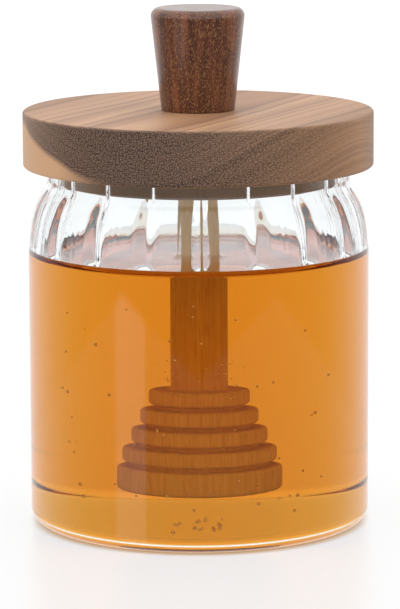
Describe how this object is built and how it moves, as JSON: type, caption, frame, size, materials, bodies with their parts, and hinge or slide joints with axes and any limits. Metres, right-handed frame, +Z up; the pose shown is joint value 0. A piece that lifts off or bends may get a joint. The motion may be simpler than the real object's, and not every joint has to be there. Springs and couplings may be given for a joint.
{
  "type": "honey pot",
  "caption": "Round clear glass pot of amber honey with a fluted shoulder, shut by a thick turned wooden lid with a tapered knob, and a ringed wooden dipper hanging from the lid into the honey.",
  "frame": {"origin": "centre of the jar's base, on the surface it stands on", "axes": "+Z up along the jar's axis; -Y is the side that faces the picture's camera"},
  "size_m": [0.0972, 0.0972, 0.1436],
  "materials": {
    "glass": "clear polished glass, fluted over the shoulder",
    "honey": "clear amber honey with a few small air bubbles",
    "dipper_wood": "turned close-grained wood, unfinished",
    "lid_wood": "oiled open-pored wood with brown heartwood and a pale sapwood edge",
    "knob_wood": "oiled dark reddish-brown wood, upright grain"
  },
  "bodies": {
    "root": {"jar": "glass", "honey": "honey", "dipper": "dipper_wood", "lid": "lid_wood", "knob": "knob_wood"}
  },
  "joints": []
}
